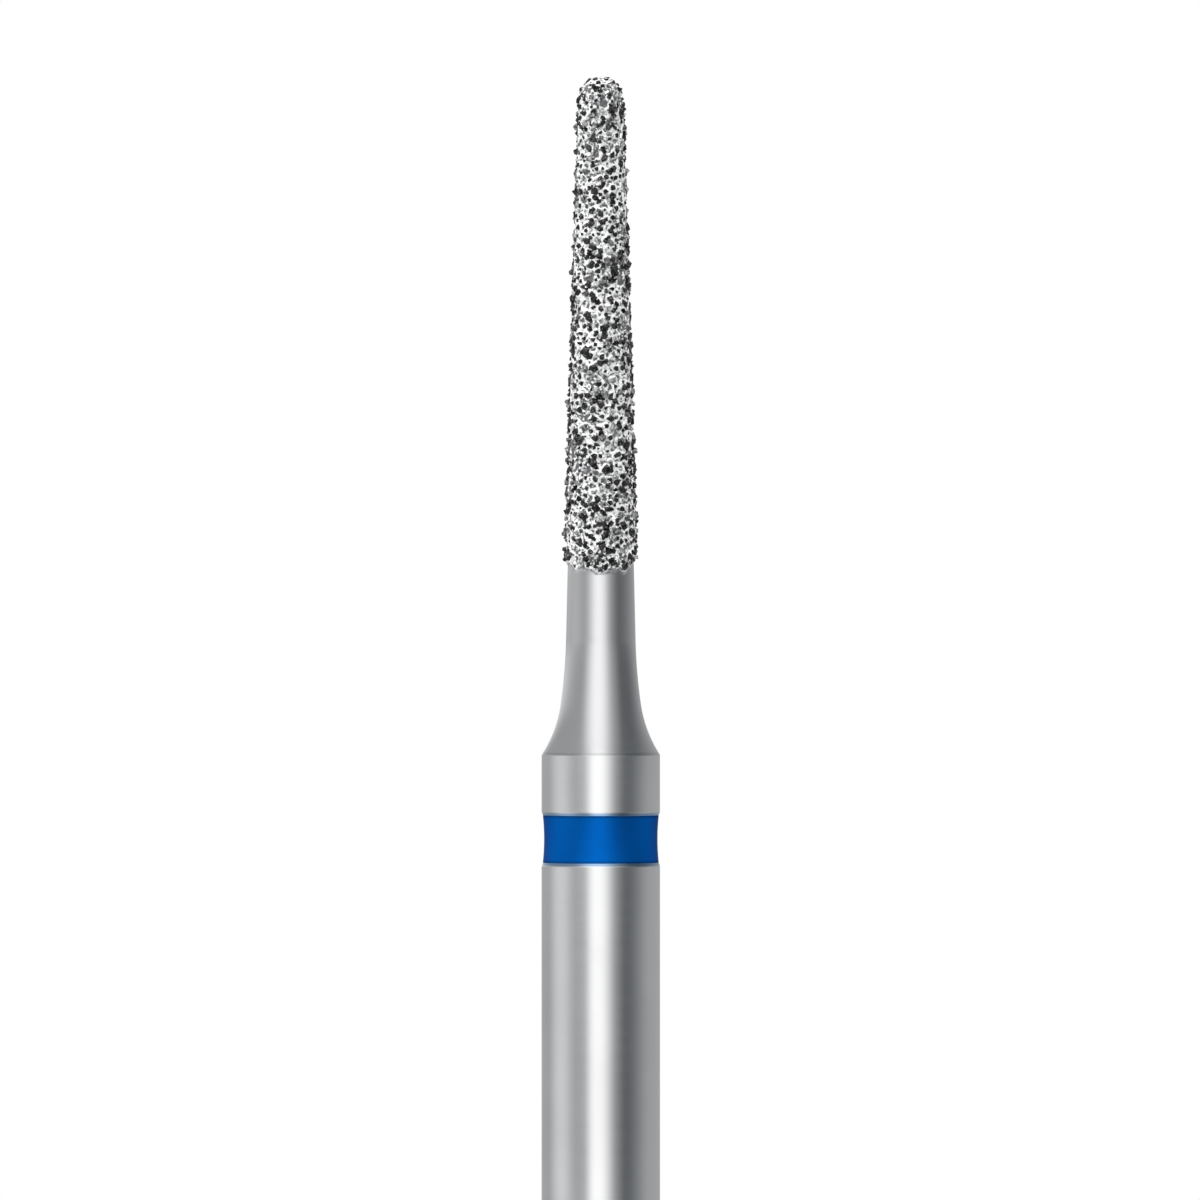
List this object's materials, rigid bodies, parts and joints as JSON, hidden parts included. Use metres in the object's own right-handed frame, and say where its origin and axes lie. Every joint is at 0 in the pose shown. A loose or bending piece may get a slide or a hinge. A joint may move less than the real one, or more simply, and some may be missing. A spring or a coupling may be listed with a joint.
{
  "type": "diamond dental bur",
  "caption": "Round-end tapered diamond bur with a flared neck, a short collar, a blue ring and a plain friction-grip shank.",
  "frame": {"origin": "centre of the shank's end face, at the bottom of the object", "axes": "+Z along the bur's axis from the shank's end to the tip, -Y towards the side where the grit reaches lowest"},
  "size_m": [0.0016, 0.0016, 0.021],
  "materials": {
    "ground_steel": "finely ground, bright",
    "diamond_grit": "rough grains in bright nickel",
    "ring_lacquer": "glossy lacquer"
  },
  "bodies": {
    "root": {"steel_blank": "ground_steel", "diamond_coating": "diamond_grit", "colour_ring": "ring_lacquer"}
  },
  "joints": []
}
